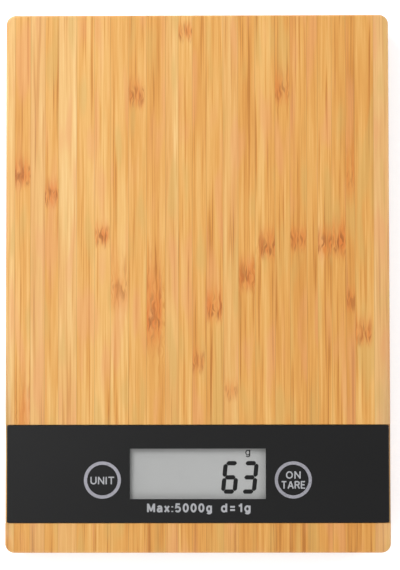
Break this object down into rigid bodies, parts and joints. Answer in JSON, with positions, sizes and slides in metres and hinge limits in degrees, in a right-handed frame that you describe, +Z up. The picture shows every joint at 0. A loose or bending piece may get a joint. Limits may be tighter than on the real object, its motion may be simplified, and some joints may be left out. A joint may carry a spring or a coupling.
{
  "type": "kitchen scale",
  "caption": "Slim battery kitchen scale: bamboo weighing board with an inset black display panel, push buttons and a low base on rubber feet.",
  "frame": {"origin": "on the table, at the centre of the board's rectangle", "axes": "+Z up; -Y towards the user, where the display panel is; +X to the user's right"},
  "size_m": [0.164, 0.23, 0.019],
  "materials": {
    "bamboo": "laminated bamboo, satin lacquer",
    "black_abs": "moulded ABS, satin black",
    "base_abs": "moulded ABS, fine texture",
    "acrylic": "clear acrylic sheet",
    "silver_trim": "satin plated trim",
    "lcd_glass": "float glass",
    "film": "polariser and reflector film",
    "white_plastic": "white ABS",
    "stem_plastic": "ivory nylon",
    "silicone": "conductive silicone strip",
    "sealant": "white silicone sealant",
    "board_laminate": "green solder mask on glass epoxy",
    "chip_black": "black epoxy",
    "chip_ceramic": "tan ceramic",
    "solder": "tin solder",
    "zinc_steel": "zinc-plated steel",
    "black_steel": "black oxide steel",
    "aluminium": "milled aluminium",
    "gauge_foil": "constantan foil on polyimide",
    "nickel": "nickel-plated spring steel",
    "battery_jacket": "printed shrink sleeve",
    "wire_red": "red PVC",
    "wire_black": "black PVC",
    "wire_green": "green PVC",
    "wire_white": "white PVC",
    "tape": "adhesive tape",
    "rubber_feet": "matt rubber"
  },
  "bodies": {
    "base": {"base_tray": "base_abs", "foot_front_left": "rubber_feet", "foot_front_right": "rubber_feet", "foot_back_left": "rubber_feet", "foot_back_right": "rubber_feet", "lower_spacer": "zinc_steel", "lower_cell_screws": "black_steel", "load_cell": "aluminium", "strain_gauges": "gauge_foil", "gauge_sealant": "sealant"},
    "platform": {"bamboo_board": "bamboo", "display_panel": "black_abs", "panel_tape": "tape", "display_window": "acrylic", "unit_button_ring": "silver_trim", "tare_button_ring": "silver_trim", "unit_switch_housing": "chip_black", "tare_switch_housing": "chip_black", "unit_switch_dome": "nickel", "tare_switch_dome": "nickel", "lcd_front_polariser": "film", "lcd_front_glass": "lcd_glass", "lcd_rear_glass": "lcd_glass", "lcd_reflector": "film", "lcd_frame": "white_plastic", "zebra_strip": "silicone", "main_board": "board_laminate", "controller_blob": "chip_black", "amplifier_chip": "chip_black", "chip_capacitors": "chip_ceramic", "chip_resistors": "chip_black", "solder_joints": "solder", "main_board_screws": "zinc_steel", "carrier_plate": "zinc_steel", "wood_screws": "zinc_steel", "upper_spacer": "zinc_steel", "upper_cell_screws": "black_steel", "cell_wire_red": "wire_red", "cell_wire_black": "wire_black", "cell_wire_green": "wire_green", "cell_wire_white": "wire_white", "battery_box": "base_abs", "battery_rear": "battery_jacket", "battery_front": "battery_jacket", "positive_contact": "nickel", "negative_contact": "nickel", "bridge_contact": "nickel", "negative_spring": "nickel", "bridge_spring": "nickel", "battery_wire_red": "wire_red", "battery_wire_black": "wire_black", "wire_tape": "tape"},
    "unit_button": {"unit_button": "black_abs", "unit_switch_stem": "stem_plastic"},
    "tare_button": {"tare_button": "black_abs", "tare_switch_stem": "stem_plastic"},
    "battery_door": {"battery_door": "base_abs"}
  },
  "joints": [
    {"name": "platform_travel", "type": "slide", "parent": "base", "child": "platform", "axis": [0, 0, -1], "range_m": [0, 0.0005], "stiffness_N_per_m": 160000, "deforming": ["load_cell"]},
    {"name": "unit_press", "type": "slide", "parent": "platform", "child": "unit_button", "axis": [0, 0, -1], "range_m": [0, 0.0003], "stiffness_N_per_m": 5000, "deforming": ["unit_switch_dome"]},
    {"name": "tare_press", "type": "slide", "parent": "platform", "child": "tare_button", "axis": [0, 0, -1], "range_m": [0, 0.0003], "stiffness_N_per_m": 5000, "deforming": ["tare_switch_dome"]},
    {"name": "battery_door_hinge", "type": "hinge", "parent": "platform", "child": "battery_door", "pos_m": [0, 0.0874, 0.00235], "axis": [1, 0, 0], "range_deg": [0, 110]}
  ]
}
